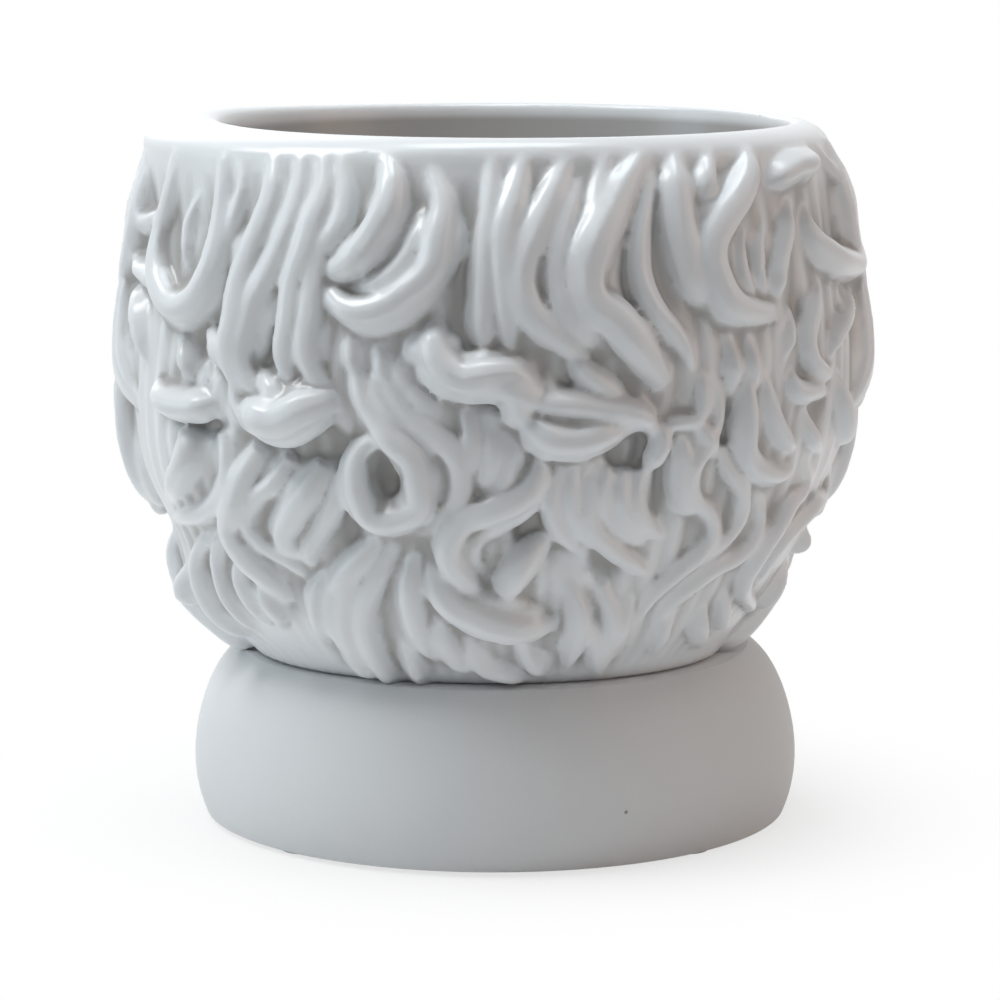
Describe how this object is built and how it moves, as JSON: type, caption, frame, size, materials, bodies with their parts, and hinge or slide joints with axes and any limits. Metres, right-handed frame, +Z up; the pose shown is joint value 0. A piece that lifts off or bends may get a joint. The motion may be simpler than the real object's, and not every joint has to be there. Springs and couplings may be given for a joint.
{
  "type": "head planter",
  "caption": "Ceramic planter in the shape of a classical head with curly hair, open at the top, on a separate shoulder base with a drain plug.",
  "frame": {"origin": "on the standing surface, under the middle of the base", "axes": "+Z up, face towards -Y, back of the head towards +Y"},
  "size_m": [0.2036, 0.1942, 0.183],
  "materials": {
    "glazed_white": "gloss",
    "matte_white": "matte",
    "plug_rubber": "matte",
    "pad_rubber": "matte"
  },
  "bodies": {
    "pot": {"head_pot": "glazed_white", "shoulder_base": "matte_white", "foot_pad_1": "pad_rubber", "foot_pad_2": "pad_rubber", "foot_pad_3": "pad_rubber", "foot_pad_4": "pad_rubber"},
    "plug": {"drain_plug": "plug_rubber"}
  },
  "joints": [
    {"name": "plug_lift", "type": "slide", "parent": "pot", "child": "plug", "axis": [0, 0, 1], "range_m": [0, 0.15]}
  ]
}
